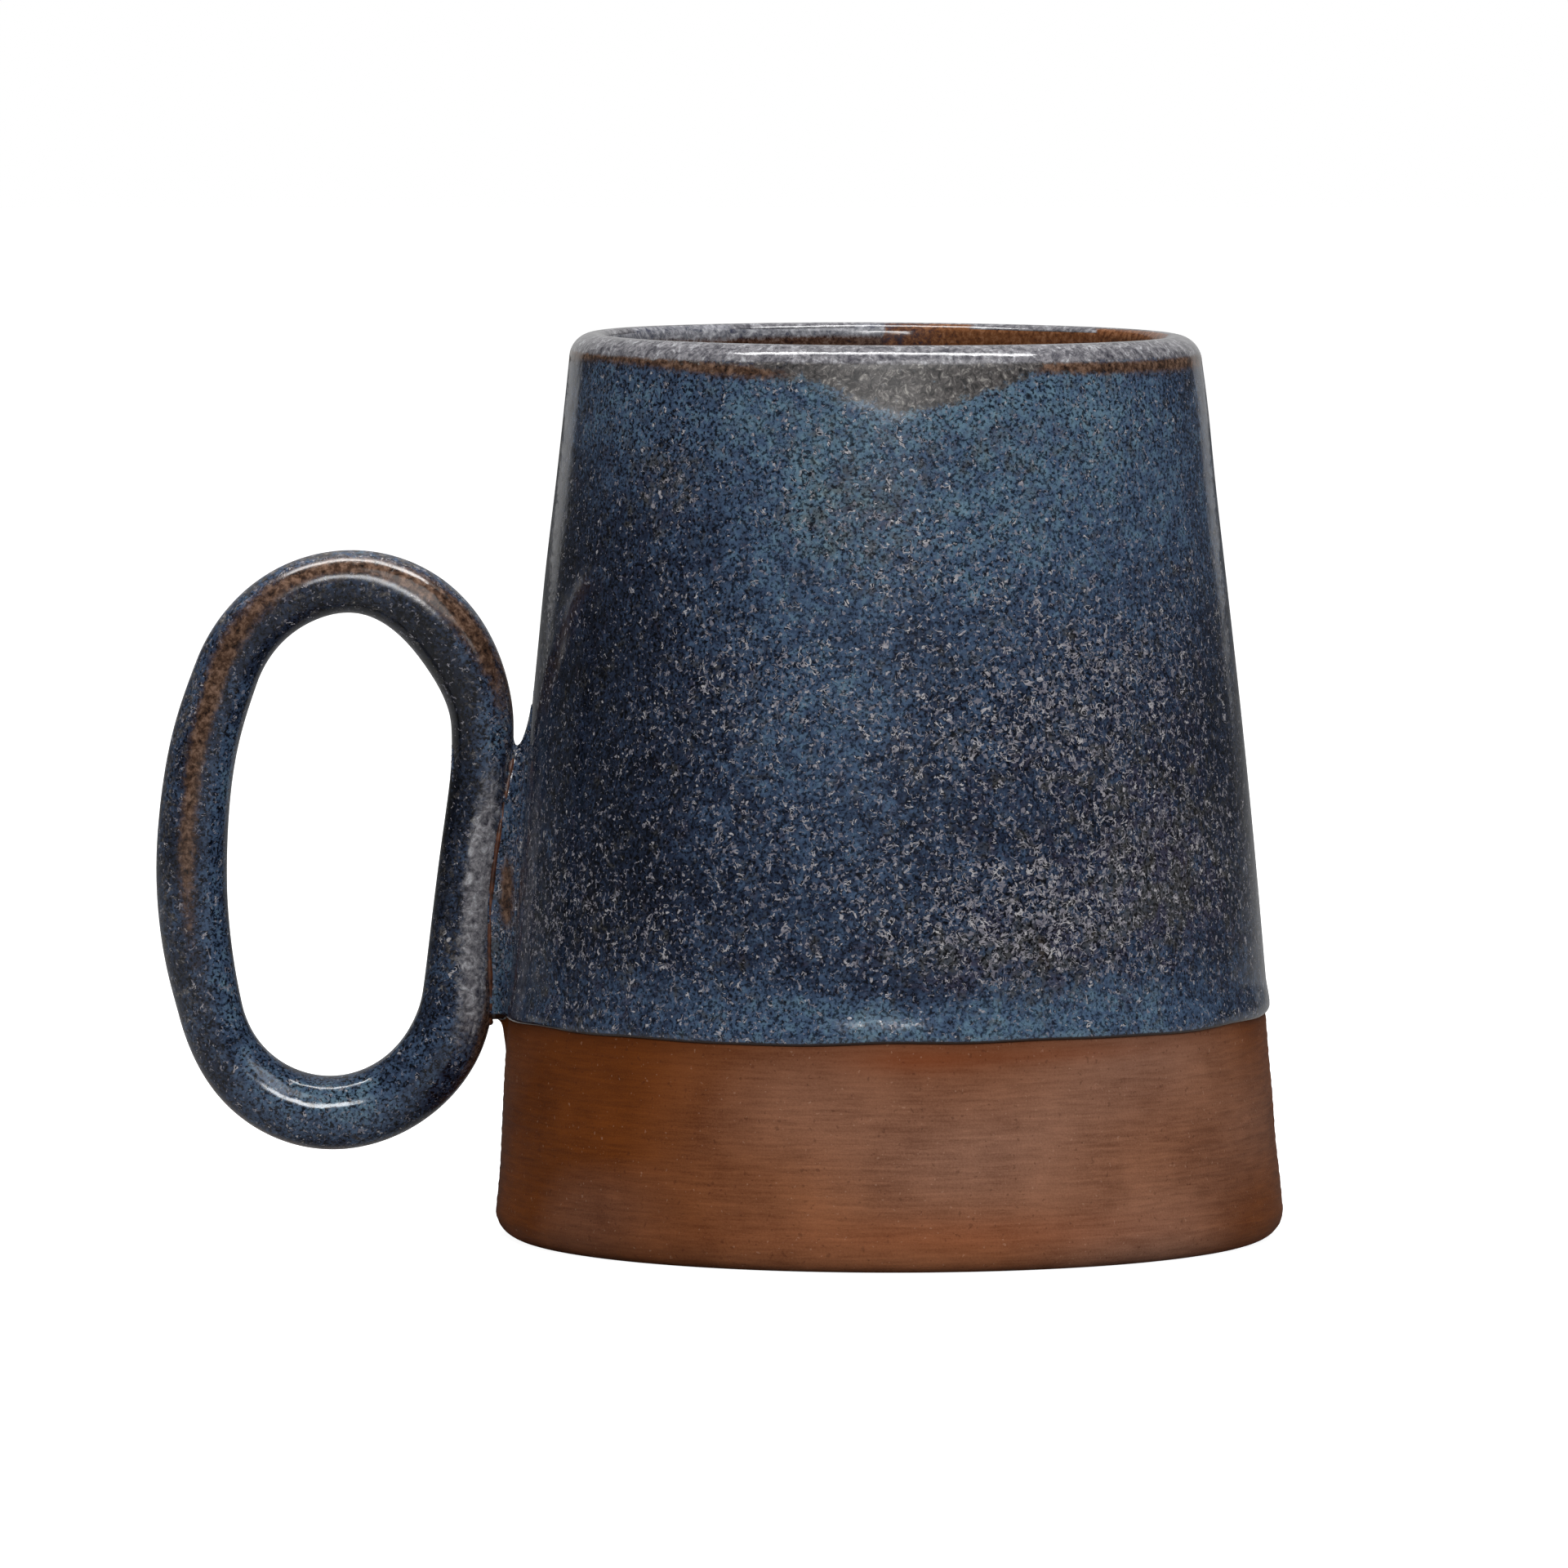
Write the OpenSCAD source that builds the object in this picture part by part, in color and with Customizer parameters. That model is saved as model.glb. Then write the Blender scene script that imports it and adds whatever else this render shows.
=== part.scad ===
// Stoneware mug: a tapered cup with an oval coil ring luted to its side as the handle.
// Origin: centre of the foot, on the surface that the mug stands on. +Z is up, the handle is at -X.
// All sizes are in millimetres.

/* [Cup] */
// Overall height, foot to lip
height = 108; // [95:1:120]
// Widest diameter, just above the foot
base_d = 94.4; // [88:0.2:100]
// Outside diameter where the lip starts to round over
mouth_d = 75.6; // [72:0.2:80]
// How far the wall swells past a straight taper at mid height
wall_bow = 0.4; // [0:0.1:1]
// Thickness of the clay wall
wall_t = 3.6; // [3:0.1:4.5]
// Thickness of the clay floor at its middle
floor_t = 5; // [4:0.5:7]
// Radius of the rounded lower edge
heel_r = 3.2; // [2:0.1:4]
// Radius of the lip's outer half, in clay
lip_out_r = 2.4; // [2:0.1:2.6]
// Radius where the inside wall turns into the floor
floor_fillet_r = 9; // [6:0.5:12]

/* [Foot] */
// Width of the flat ring that the mug stands on
foot_ring_w = 6; // [4:0.5:9]
// Depth of the hollow inside the foot ring
foot_recess = 1.2; // [0.6:0.1:2]
// Width of the slope between the ring and the hollow
foot_slope_w = 2.4; // [1.5:0.1:4]

/* [Handle ring] */
// Radius of the rolled clay coil
coil_r = 3.7; // [3.2:0.1:3.8]
// Centre of the ring's top bend: how far out from the cup's axis
top_bend_x = 64.8; // [64.4:0.1:65.5]
// Centre of the ring's top bend: height
top_bend_z = 62.5; // [61:0.5:64]
// Radius of the top bend, to the middle of the coil
top_bend_r = 15.6; // [15:0.1:16]
// Centre of the ring's bottom bend: how far out from the cup's axis
low_bend_x = 67.1; // [66.8:0.1:68]
// Centre of the ring's bottom bend: height
low_bend_z = 30.2; // [29:0.5:31]
// Radius of the bottom bend, to the middle of the coil
low_bend_r = 15; // [14.5:0.1:15.5]
// Radius of the long outer side, to the middle of the coil
outer_side_r = 73; // [60:1:90]

/* [Handle bridge] */
// Height of the bridge's lower end
bridge_low_z = 27; // [26.6:0.1:29]
// Height of the bridge's upper end
bridge_top_z = 58.6; // [54:0.2:60]
// Width of the bridge at the ring
bridge_ring_w = 5.2; // [4:0.2:6]
// Width of the bridge at the cup
bridge_cup_w = 10; // [8:0.5:12]

/* [Glaze] */
// Thickness of the glaze, and of the slip in the joints
glaze_t = 0.4; // [0.3:0.05:0.5]
// Height of the lower edge of the outside glaze
glaze_line_z = 26; // [22:0.5:26.4]
// How far the rolled lower edge stands out past the glaze
bead_t = 0.25; // [0:0.05:0.4]
// Height of the rolled lower edge
bead_h = 2.6; // [1.5:0.1:4]

/* [Hidden] */
$fn = 96;

clay_colour = "#7f573f";
slip_colour = "#5d3620";
glaze_colour = "#41536c";
liner_colour = "#3b4257";
ring_glaze_colour = "#4c5360";

wall_steps = 8;
arc_steps = 6;
base_r = base_d / 2;
clay_h = height - glaze_t;
lip_in_r = wall_t - lip_out_r;
crest_r = mouth_d / 2 - glaze_t - lip_out_r;
lip_start_z = clay_h - lip_out_r;
floor_z = foot_recess + floor_t;
foot_out_r = base_r - heel_r;
foot_in_r = foot_out_r - foot_ring_w;
fillet_top_z = floor_z + floor_fillet_r;

// Outside radius of the clay wall at height z
function clay_r(z) =
    let (u = (z - heel_r) / (lip_start_z - heel_r))
    base_r + (crest_r + lip_out_r - base_r) * u + wall_bow * 4 * u * (1 - u);

// Points of a bowed wall from z0 to z1, moved sideways by off
function wall_points(z0, z1, off) =
    [for (i = [0 : wall_steps]) let (z = z0 + (z1 - z0) * i / wall_steps) [clay_r(z) + off, z]];

// Points of an arc about c from angle a0 to a1
function arc_points(c, r, a0, a1) =
    [for (i = [0 : arc_steps]) let (a = a0 + (a1 - a0) * i / arc_steps) c + r * [cos(a), sin(a)]];

function reversed(list) = [for (i = [len(list) - 1 : -1 : 0]) list[i]];

// Outside of the clay from the foot ring up to the crest of the lip, grown by off above the heel
function outer_profile(off) = concat(
    arc_points([foot_out_r, heel_r], heel_r, -90, 0),
    wall_points(heel_r, lip_start_z, off),
    arc_points([crest_r, lip_start_z], lip_out_r + off, 0, 90));

// Inside of the clay from the crest of the lip down to the middle of the floor, grown by off
function inner_profile(off) =
    let (
        wall = wall_points(fillet_top_z, clay_h - lip_in_r, -wall_t - off),
        lip = arc_points([crest_r, clay_h - lip_in_r], lip_in_r + off, 90, 165),
        fillet_r = floor_fillet_r - off,
        fillet = arc_points([wall[0][0] - fillet_r, fillet_top_z], fillet_r, 0, -90)
    )
    concat(lip, reversed([for (i = [0 : wall_steps - 1]) wall[i]]), fillet, [[0, floor_z + off]]);

module clay_cup() {
    underside = [
        [0, foot_recess],
        [foot_in_r - foot_slope_w, foot_recess],
        [foot_in_r, 0]
    ];
    color(clay_colour)
    rotate_extrude()
    polygon(concat(underside, outer_profile(0), inner_profile(0)));
}

// The cup as a full body, with its side grown by off
module cup_body(off) {
    rotate_extrude()
    polygon(concat([[0, 0]], outer_profile(off), [[0, clay_h + off]]));
}

// Half section of the outside glaze: a rolled lower edge, the skin above it and the lip's outer half
module glaze_outer_outline() {
    skin_z = glaze_line_z + bead_h;
    bead = [for (i = [0 : arc_steps]) let (
            u = i / arc_steps,
            z = glaze_line_z + bead_h * u,
            t = glaze_t * min(1, 3 * u) + bead_t * sin(180 * u)
        ) [clay_r(z) + t, z]];
    skin = wall_points(skin_z, lip_start_z, glaze_t);
    lip = arc_points([crest_r, lip_start_z], lip_out_r + glaze_t, 0, 90);
    clay_lip = arc_points([crest_r, lip_start_z], lip_out_r, 0, 90);
    clay_wall = [for (p = wall_points(heel_r, lip_start_z, 0)) if (p[1] > glaze_line_z) p];
    polygon(concat(bead, skin, lip, reversed(clay_lip), reversed(clay_wall)));
}

module glaze_outer() {
    color(glaze_colour)
    difference() {
        rotate_extrude() glaze_outer_outline();
        bridge_block(0);
    }
}

module glaze_liner() {
    color(liner_colour)
    rotate_extrude()
    polygon(concat(inner_profile(glaze_t), reversed(inner_profile(0))));
}

// The ring's centre line is a straight inner leg, two bends and a long outer side,
// and each of these meets the next in line with it.
top_c = [-top_bend_x, top_bend_z];
low_c = [-low_bend_x, low_bend_z];
function toward(angle) = [cos(angle), sin(angle)];
function angle_of(v) = atan2(v[1], v[0]);

bend_gap = norm(top_c - low_c);
bend_angle = angle_of(top_c - low_c);
leg_angle = bend_angle - 90 + asin((low_bend_r - top_bend_r) / bend_gap);
side_to_top = outer_side_r - top_bend_r;
side_to_low = outer_side_r - low_bend_r;
side_along = (pow(side_to_low, 2) - pow(side_to_top, 2) + pow(bend_gap, 2)) / (2 * bend_gap);
side_across = sqrt(pow(side_to_low, 2) - pow(side_along, 2));
side_c = low_c + side_along * toward(bend_angle) + side_across * toward(bend_angle - 90);
top_meet = angle_of(top_c - side_c);
low_meet = angle_of(low_c - side_c) + 360;
leg_top = top_c + top_bend_r * toward(leg_angle);
leg_low = low_c + low_bend_r * toward(leg_angle);

// Two stretches of the ring stop this far apart, and a band a little wider than the coil ties them
meet_gap = 0.2;
band_len = 1.2;
band_step = 0.02;

// A bend of the ring about centre c, from angle a0 to a1 in the XZ plane
module bend(c, r, a0, a1, tube_r) {
    gap_angle = meet_gap / 2 / r * 180 / PI;
    translate([c[0], 0, c[1]])
    rotate([90, 0, 0])
    rotate_extrude(angle = a1 - a0 - 2 * gap_angle, start = a0 + gap_angle)
    translate([r, 0])
    circle(tube_r);
}

// A straight stretch centred on point p, running square to the given angle
module straight(p, angle, length, tube_r) {
    translate([p[0], 0, p[1]])
    rotate([0, -angle, 0])
    cylinder(h = length, r = tube_r, center = true);
}

module ring_tube(tube_r) {
    straight((leg_top + leg_low) / 2, leg_angle, norm(leg_top - leg_low) - meet_gap, tube_r);
    bend(top_c, top_bend_r, leg_angle, top_meet, tube_r);
    bend(side_c, outer_side_r, top_meet, low_meet, tube_r);
    bend(low_c, low_bend_r, low_meet, leg_angle + 360, tube_r);
    straight(leg_top, leg_angle, band_len, tube_r + band_step);
    straight(top_c + top_bend_r * toward(top_meet), top_meet, band_len, tube_r + band_step);
    straight(low_c + low_bend_r * toward(low_meet), low_meet, band_len, tube_r + band_step);
    straight(leg_low, leg_angle, band_len, tube_r + band_step);
}

module handle_ring() {
    color(clay_colour)
    ring_tube(coil_r);
}

module glaze_ring() {
    color(ring_glaze_colour)
    difference() {
        ring_tube(coil_r + glaze_t);
        ring_tube(coil_r);
        bridge_block(0);
    }
}

// The bridge before the cup and the ring are cut from it, grown by off
module bridge_block(off) {
    ring_side_x = (leg_low[0] + leg_top[0]) / 2;
    cup_side_x = -clay_r(bridge_top_z) + wall_t / 2;
    ring_half = bridge_ring_w / 2 + off;
    cup_half = bridge_cup_w / 2 + off;
    translate([0, 0, bridge_low_z - off])
    linear_extrude(bridge_top_z - bridge_low_z + 2 * off)
    polygon([
        [ring_side_x, -ring_half],
        [cup_side_x, -cup_half],
        [cup_side_x, cup_half],
        [ring_side_x, ring_half]
    ]);
}

module handle_bridge() {
    color(clay_colour)
    difference() {
        bridge_block(0);
        cup_body(glaze_t);
        ring_tube(coil_r + glaze_t);
    }
}

module glaze_bridge() {
    color(glaze_colour)
    difference() {
        bridge_block(glaze_t);
        bridge_block(0);
        cup_body(glaze_t);
        ring_tube(coil_r + glaze_t);
    }
}

module slip_cup_joint() {
    color(slip_colour)
    intersection() {
        bridge_block(0);
        difference() {
            cup_body(glaze_t);
            cup_body(0);
        }
    }
}

module slip_ring_joint() {
    color(slip_colour)
    intersection() {
        bridge_block(0);
        difference() {
            ring_tube(coil_r + glaze_t);
            ring_tube(coil_r);
        }
    }
}

clay_cup();
handle_ring();
handle_bridge();
slip_cup_joint();
slip_ring_joint();
glaze_outer();
glaze_liner();
glaze_ring();
glaze_bridge();
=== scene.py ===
import math

import bmesh
import bpy
import numpy as np
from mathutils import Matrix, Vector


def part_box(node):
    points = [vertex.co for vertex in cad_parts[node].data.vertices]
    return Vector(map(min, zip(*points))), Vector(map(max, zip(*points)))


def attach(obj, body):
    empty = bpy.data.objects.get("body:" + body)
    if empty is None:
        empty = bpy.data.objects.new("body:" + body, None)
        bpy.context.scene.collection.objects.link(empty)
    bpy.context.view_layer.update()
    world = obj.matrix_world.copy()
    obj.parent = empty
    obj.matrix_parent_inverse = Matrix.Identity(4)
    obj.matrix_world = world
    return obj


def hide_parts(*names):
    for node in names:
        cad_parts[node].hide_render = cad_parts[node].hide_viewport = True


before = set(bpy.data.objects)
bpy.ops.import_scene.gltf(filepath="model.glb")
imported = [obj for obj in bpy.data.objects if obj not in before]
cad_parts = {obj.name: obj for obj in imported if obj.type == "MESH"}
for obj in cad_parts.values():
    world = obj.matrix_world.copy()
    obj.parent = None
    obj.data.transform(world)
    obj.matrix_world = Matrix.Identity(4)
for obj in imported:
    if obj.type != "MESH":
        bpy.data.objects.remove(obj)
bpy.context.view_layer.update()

# ---- sizes, in millimetres
MM = 0.001
TAU = 2 * math.pi

# Cup: the heights and radii come from the boxes of its CAD nodes
BASE_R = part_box("clay_cup")[1].y / MM
CLAY_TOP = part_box("clay_cup")[1].z / MM
GLAZE_T = (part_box("glaze_outer")[1].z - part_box("clay_cup")[1].z) / MM
GLAZE_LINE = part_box("glaze_outer")[0].z / MM + 0.7
HEEL_R = 3.2
WALL_BOW = 0.5
WALL_T = 3.6
LIP_OUT_R = 2.7
LIP_IN_R = WALL_T - LIP_OUT_R
CREST_R = 34.7
LIP_START = CLAY_TOP - LIP_OUT_R
FLOOR_Z = 6.2
FLOOR_FILLET = 9.0
FOOT_RECESS = 1.2
FOOT_OUT_R = BASE_R - HEEL_R
FOOT_IN_R = FOOT_OUT_R - 6.0
FOOT_SLOPE = 2.4
EDGE_BEAD_T = 0.22
LEAN = -0.0068    # sideways for each mm of height
RIM_TILT = 0.15

# Ring handle: two bends, an outer side and a straight inner leg, as in the CAD model
ring_low, ring_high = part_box("handle_ring")
COIL_R = ring_high.y / MM
TOP_BEND_R = 15.6
LOW_BEND_R = 15.0
OUTER_SIDE_R = 73.0
BEND_STEP_X = 2.3
TOP_BEND = np.array([ring_high.x / MM - TOP_BEND_R - COIL_R, ring_high.z / MM - TOP_BEND_R - COIL_R])
LOW_BEND = np.array([TOP_BEND[0] - BEND_STEP_X, ring_low.z / MM + LOW_BEND_R + COIL_R])

# Bridge between the ring and the cup
BRIDGE_MID_Z = 41.75
BRIDGE_HALF_H = 15.8
BRIDGE_HALF_W = 1.5
WALL_FILLET = 5.5
END_FILLET = 2.4
RING_FILLET = 0.7
BRIDGE_BOX = ((-52.5, -9.5, 18.5), (-37.5, 9.5, 68.5))
BARE_SPOT_X = -45.7
BARE_SPOT_Z = 41.2

# Glaze on the cup: its rolled lower edge, and the bare V below the lip, placed and as wide to each
# side as these degrees
ROLL_H = 4.2
EDGE_H = 0.8
BARE_BELOW_LIP_Z = 105.4
VEE_AT = 2.6
VEE_H = 5.4
VEE_LEFT = 36
VEE_RIGHT = 24

# Slip beads
SLIP_AT_RING_R = 0.34
SLIP_AT_CUP_R = 0.4

# Fineness of the meshes: points along or round each, and the size of the bridge's grid cells
CLAY_COLS = 448
GLAZE_COLS = 512
LINER_COLS = 384
WALL_ROWS = 122
EDGE_ROWS = 9
ROLL_ROWS = 9
RING_SKIN = (480, 80)
RING_INSIDE = (240, 24)
CLAY_RING = (300, 32)
BEAD_POINTS = 240
BEAD_COLS = 12
CLAY_CELL = 0.45
GLAZE_CELL = 0.3

# Bake layout: the gap beside a strip, and the share of the surfaces that never show
STRIP_EDGE = 0.006
HIDDEN_SHARE = 0.015

# Camera: where it stands, the degrees it looks down, and its lens. The lights' aim is a height
CAMERA_AT = (-12.65, -1701.8, 175.2)
CAMERA_DROP = 4.07
CAMERA_LENS = 327.4
LIGHT_TARGET_Z = 60.0


# ---- helpers
def smooth(low, high, x):
    """0 below low and 1 above high, smooth between."""
    t = np.clip((x - low) / (high - low), 0, 1)
    return t * t * (3 - 2 * t)


def turn_gap(phi, centre):
    """Angle from centre to phi in degrees, wrapped to -180..180."""
    return (phi - centre + 180) % 360 - 180


def blob(phi, z, centre, height, wide, tall):
    """A soft spot on the wall, 1 in its middle: angles in degrees, heights in mm."""
    return np.exp(-((turn_gap(phi, centre) / wide) ** 2) - ((z - height) / tall) ** 2)


def drift(phi, z, seed, reach):
    """A smooth field of about -1 to 1 round the wall. reach is the most turns per mm of height."""
    waves = 16
    draw = np.random.default_rng(seed)
    total = np.zeros(np.broadcast(phi, z).shape)
    for _ in range(waves):
        turns = draw.integers(-7, 8)
        rise = draw.uniform(-reach, reach) * TAU
        total = total + np.cos(np.radians(phi) * turns + z * rise + draw.uniform(0, TAU))
    return total / math.sqrt(waves)


def new_object(name, points, faces, masks=None, layout=None):
    """A mesh object from points in mm and faces. masks are named values, one for each point, and
    layout gives the bake coordinates of each face corner."""
    mesh = bpy.data.meshes.new(name)
    mesh.from_pydata((np.asarray(points) * MM).tolist(), [], faces)
    if layout is not None:
        mesh.uv_layers.new(name="OFBake").data.foreach_set("uv", layout.astype(np.float32).ravel())
    for key, values in (masks or {}).items():
        layer = mesh.attributes.new(key, "FLOAT", "POINT")
        layer.data.foreach_set("value", np.asarray(values, np.float32).ravel())
    soup = bmesh.new()
    soup.from_mesh(mesh)
    bmesh.ops.remove_doubles(soup, verts=soup.verts, dist=1e-7)
    bmesh.ops.recalc_face_normals(soup, faces=soup.faces)
    soup.to_mesh(mesh)
    soup.free()
    mesh.shade_smooth()
    ob = bpy.data.objects.new(name, mesh)
    bpy.context.scene.collection.objects.link(ob)
    return ob


def grid_faces(rows, cols, row_loop=False, start=0):
    """Quads of a grid whose columns close into a ring. Its rows do too if row_loop."""
    row = np.arange(rows if row_loop else rows - 1)[:, None]
    col = np.arange(cols)[None, :]
    here = row * cols
    above = (row + 1) % rows * cols
    after = (col + 1) % cols
    quads = np.stack([here + col, here + after, above + after, above + col], axis=-1)
    return (quads.reshape(-1, 4) + start).tolist()


def in_strips(along, across, strips):
    """Bake coordinates of quads from their corners' places, 0 to 1, along and across a surface. The
    long way is cut into strips that lie one above another."""
    along, across = np.broadcast_arrays(along, across)
    strip = np.floor(along.min(axis=-1, keepdims=True) * strips + 1e-6)
    v = (strip + STRIP_EDGE + across * (1 - 2 * STRIP_EDGE)) / strips
    return np.stack([along * strips - strip, v], axis=-1).reshape(-1, 2)


def corner_pairs(count):
    """Each step of a closed row of count points as (start, end) from 0 to 1."""
    start = np.arange(count) / count
    return start, start + 1 / count


def arc(centre_r, centre_z, radius, first, last, count):
    """Profile points of an arc, in degrees from the outward direction."""
    a = np.radians(np.linspace(first, last, count))
    return np.stack([centre_r + radius * np.cos(a), centre_z + radius * np.sin(a)], axis=1)


# ---- the shape of the cup
def wall_r(z):
    """Outside radius of the clay wall at height z, before the hand-made unevenness."""
    u = (z - HEEL_R) / (LIP_START - HEEL_R)
    return BASE_R + (CREST_R + LIP_OUT_R - BASE_R) * u + WALL_BOW * 4 * u * (1 - u)


def swell(phi, z):
    """How far the thrown wall stands out of its true shape."""
    belly = 0.14 * drift(phi, z, 5, 0.012)
    right_shoulder = 0.18 * blob(phi, z, 80, 100, 50, 7)
    left_shoulder = 0.12 * blob(phi, z, -80, 80, 50, 8)
    low_left = 0.22 * blob(phi, z, -85, 20, 40, 9)
    return (belly + right_shoulder + left_shoulder + low_left) * smooth(1, 12, z)


def lean(points):
    """The cup's slight lean towards the handle, and the tilt of its rim."""
    x, y, z = np.moveaxis(np.asarray(points, float), -1, 0)
    tilted = z - RIM_TILT * x / CREST_R * smooth(40, CLAY_TOP, z)
    return np.stack([x + LEAN * z, y, tilted], axis=-1)


def turned_layout(profile, cols, row_loop, skin):
    """Bake coordinates of a turned surface. Its first skin rows show, and the rest get little room."""
    steps = np.hypot(*np.diff(profile[:skin], axis=0).T)
    seen = np.concatenate([[0], np.cumsum(steps)]) / steps.sum() * (1 - HIDDEN_SHARE)
    hidden = np.linspace(1 - HIDDEN_SHARE, 1, len(profile) - skin + 2)[1:]
    rows = np.concatenate([seen, hidden])
    if not row_loop:
        rows = rows[:-1]
    low, high = rows[:-1, None, None], rows[1:, None, None]
    start, end = corner_pairs(cols)
    along = np.stack([start, end, end, start], axis=-1)[None]
    return in_strips(along, np.concatenate([low, low, high, high], axis=-1), 2)


def turned(name, profile, cols, row_loop, skin, relief, masks):
    """Turns a profile of (radius, height) rows about Z and gives it the thrown unevenness. Its first
    skin rows show. relief(phi, z, shows) gives (out, up) to add, and masks(phi, z) the named values."""
    theta = np.arange(cols) / cols * TAU
    phi = np.degrees(theta)[None, :] + 90
    radius = np.repeat(profile[:, 0:1], cols, axis=1)
    height = np.repeat(profile[:, 1:2], cols, axis=1)
    out, up = relief(phi, height, np.arange(len(profile))[:, None] < skin)
    radius = radius + out
    height = height + up
    radius = np.where(radius > 0.01, radius + swell(phi, height) * smooth(5, 30, radius), 0)
    points = np.stack([radius * np.cos(theta), radius * np.sin(theta), height], axis=-1)
    named = {key: np.broadcast_to(value, radius.shape) for key, value in masks(phi, height).items()}
    faces = grid_faces(len(profile), cols, row_loop)
    layout = turned_layout(profile, cols, row_loop, skin)
    return new_object(name, lean(points).reshape(-1, 3), faces, named, layout)


def wall_rows(start, stop, step, off):
    """Profile rows up or down the outside of the wall."""
    z = np.linspace(start, stop, max(2, round(abs(stop - start) / step) + 1))
    return np.stack([wall_r(z) + off, z], axis=1)


def inside_rows(off, wall_step, bend_count):
    """Profile rows from the crest of the lip down the inside to the middle of the floor."""
    top_z = CLAY_TOP - LIP_IN_R
    fillet_top = FLOOR_Z + FLOOR_FILLET
    lip = arc(CREST_R, top_z, LIP_IN_R + off, 90, 170, bend_count)
    wall = wall_rows(top_z - 1, fillet_top, wall_step, -WALL_T - off)
    fillet_r = FLOOR_FILLET - off
    fillet = arc(wall[-1, 0] - fillet_r, fillet_top, fillet_r, 0, -90, bend_count)
    floor_r = np.linspace(fillet[-1, 0], 0, bend_count + 2)[1:]
    floor = np.stack([floor_r, np.full(len(floor_r), FLOOR_Z + off)], axis=1)
    return np.concatenate([lip, wall, fillet[1:], floor])


# ---- clay cup
def clay_relief(phi, z, _):
    """Turning marks and shallow unevenness on the bare band."""
    bare = smooth(0.3, 2, z) * (1 - smooth(GLAZE_LINE + 1, GLAZE_LINE + 4, z))
    drawn = z + 0.4 * np.sin(np.radians(phi)) + 0.25 * drift(phi, z, 8, 0.01)
    marks = 0.022 * np.sin(drawn * TAU / 1.7) + 0.016 * np.sin(drawn * TAU / 0.93 + 1)
    patches = 0.03 * drift(phi, z, 9, 0.12)
    return (marks + patches) * bare, 0 * z


def make_clay_cup():
    """The thrown cup, from the middle of its underside up the outside and down the inside."""
    underside = np.array([
        [0, FOOT_RECESS + 0.25],
        [8, FOOT_RECESS + 0.2],
        [18, FOOT_RECESS + 0.05],
        [28, FOOT_RECESS],
        [FOOT_IN_R - FOOT_SLOPE - 0.8, FOOT_RECESS],
        [FOOT_IN_R - FOOT_SLOPE, FOOT_RECESS - 0.15],
        [FOOT_IN_R - 0.5, 0.25],
        [FOOT_IN_R, 0],
    ])
    foot = np.array([[FOOT_IN_R + 2, 0], [FOOT_OUT_R - 2, 0]])
    heel = arc(FOOT_OUT_R, HEEL_R, HEEL_R, -90, 0, 14)
    bare = wall_rows(HEEL_R + 0.4, GLAZE_LINE + 4, 0.32, 0)
    covered = wall_rows(GLAZE_LINE + 8, LIP_START - 1, 8, 0)
    lip = arc(CREST_R, LIP_START, LIP_OUT_R, 0, 80, 7)
    profile = np.concatenate([underside, foot, heel, bare, covered, lip, inside_rows(0, 8, 5)])
    skin = len(underside) + len(foot) + len(heel) + len(bare)
    return turned("clay_cup_body", profile, CLAY_COLS, False, skin, clay_relief, clay_masks)


def clay_masks(phi, z):
    """Where the bare clay is flushed orange, spotted with rust, pinkish grey at the right front as a
    painted sheen, and darker just under the glaze line and up the band towards it, so that the foot
    stays lighter as painted light from the floor.
    """
    phi_gap = turn_gap(phi, 0) + 4 * drift(phi, z, 21, 0.03)
    flush = (1 - smooth(-42, -6, phi_gap)) * smooth(-178, -120, turn_gap(phi, 0))
    right_flush = 0.75 * smooth(46, 72, phi_gap) * (1 - smooth(80, 120, phi_gap))
    back_flush = smooth(60, 150, np.abs(turn_gap(phi, 20))) * (0.5 + 0.5 * drift(phi, z, 22, 0.03))
    rust = blob(phi, z, 4, 25, 11, 1.6) + 0.6 * blob(phi, z, 26, 25.4, 16, 1)
    rust = rust + 0.5 * blob(phi, z, 14, 4.5, 30, 2.5)
    return {
        "flush": np.clip(flush + right_flush + back_flush, 0, 1),
        # Painted sheen: a pinkish grey veil at the right front, where a side light glances off the matte
        # clay.
        "mauve_sheen": np.clip(0.75 * blob(phi, z, 38, 14, 34, 16) + 0.3 * drift(phi, z, 23, 0.05), 0, 1),
        # Darker just under the glaze line, and darker up the band from 14 mm so that the foot stays
        # lighter: that lighter foot is painted light bounced from the floor.
        "glaze_line_dark_and_bounce": 0.6 * (1 - smooth(0, 2.6, GLAZE_LINE + glaze_wave(phi) - z)) + 0.4 * smooth(14, 26, z),
        "rust": rust,
    }


# ---- glaze on the cup
def glaze_wave(phi):
    """How the lower edge of the glaze rises and falls round the cup."""
    a = np.radians(phi)
    slow = 0.3 * np.sin(a) + 0.12 * np.sin(5 * a + 0.4)
    return slow + 0.07 * np.sin(11 * a + 2) + 0.05 * np.cos(17 * a)


def glaze_edge_profile():
    """The rolled lower edge: round at its foot, then thinning up into the coat."""
    lift = EDGE_H * (1 - np.cos(np.linspace(0, math.pi / 2, EDGE_ROWS)))
    edge_t = (GLAZE_T + EDGE_BEAD_T) * np.sin(np.linspace(0, math.pi / 2, EDGE_ROWS)) - 0.03
    rise = np.linspace(EDGE_H, ROLL_H, ROLL_ROWS + 1)[1:]
    fade = 0.5 + 0.5 * np.cos(np.linspace(0, math.pi, ROLL_ROWS + 1)[1:])
    h = np.concatenate([lift, rise])
    t = np.concatenate([edge_t, GLAZE_T + EDGE_BEAD_T * fade])
    z = GLAZE_LINE + h
    return np.stack([wall_r(z) + t, z], axis=1)


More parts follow.
